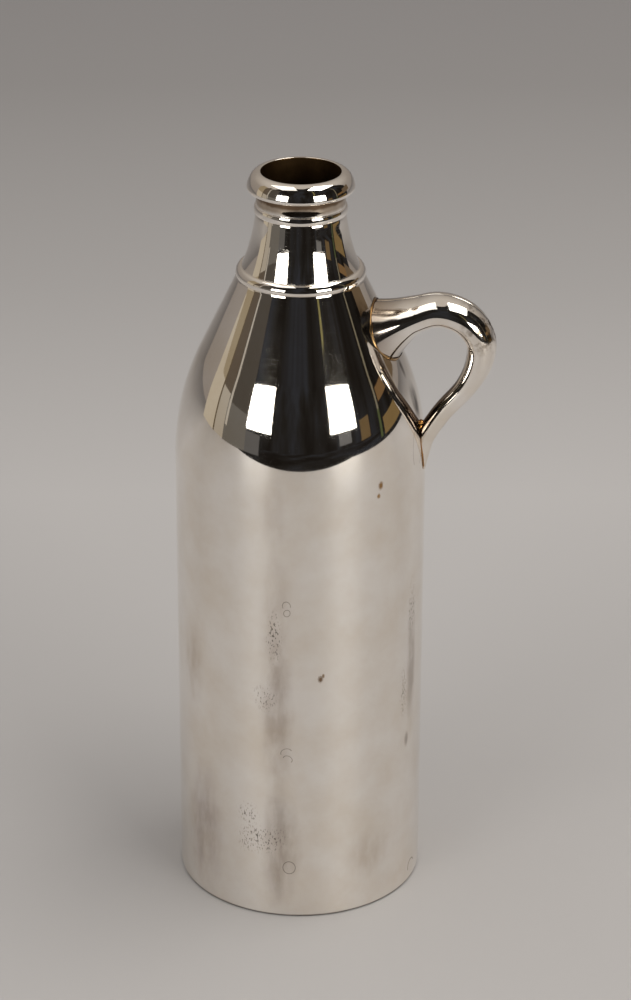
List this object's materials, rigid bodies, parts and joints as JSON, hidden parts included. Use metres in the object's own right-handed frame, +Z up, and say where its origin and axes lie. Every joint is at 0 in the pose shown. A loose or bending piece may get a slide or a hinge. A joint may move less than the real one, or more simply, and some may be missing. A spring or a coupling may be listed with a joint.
{
  "type": "silver bottle",
  "caption": "Round silver bottle with a straight body, conical shoulder, flared neck, rolled lip and a small ear handle on the shoulder, for holding and pouring drink.",
  "frame": {"origin": "centre of the foot, on the surface that the bottle stands on", "axes": "+Z up along the bottle's axis, +X towards the side that carries the handle"},
  "size_m": [0.1215, 0.095, 0.2901],
  "materials": {
    "silver_sheet": "polished",
    "silver_wire": "polished",
    "silver_handle": "polished",
    "gilt_lip": "polished",
    "silver_solder": "satin"
  },
  "bodies": {
    "root": {"body_shell": "silver_sheet", "base_plate": "silver_sheet", "neck_tube": "silver_sheet", "neck_ring": "silver_wire", "neck_bead": "silver_wire", "lip_ring": "gilt_lip", "handle_front_half": "silver_handle", "handle_back_half": "silver_handle", "root_solder": "silver_solder", "tail_solder": "silver_solder"}
  },
  "joints": []
}
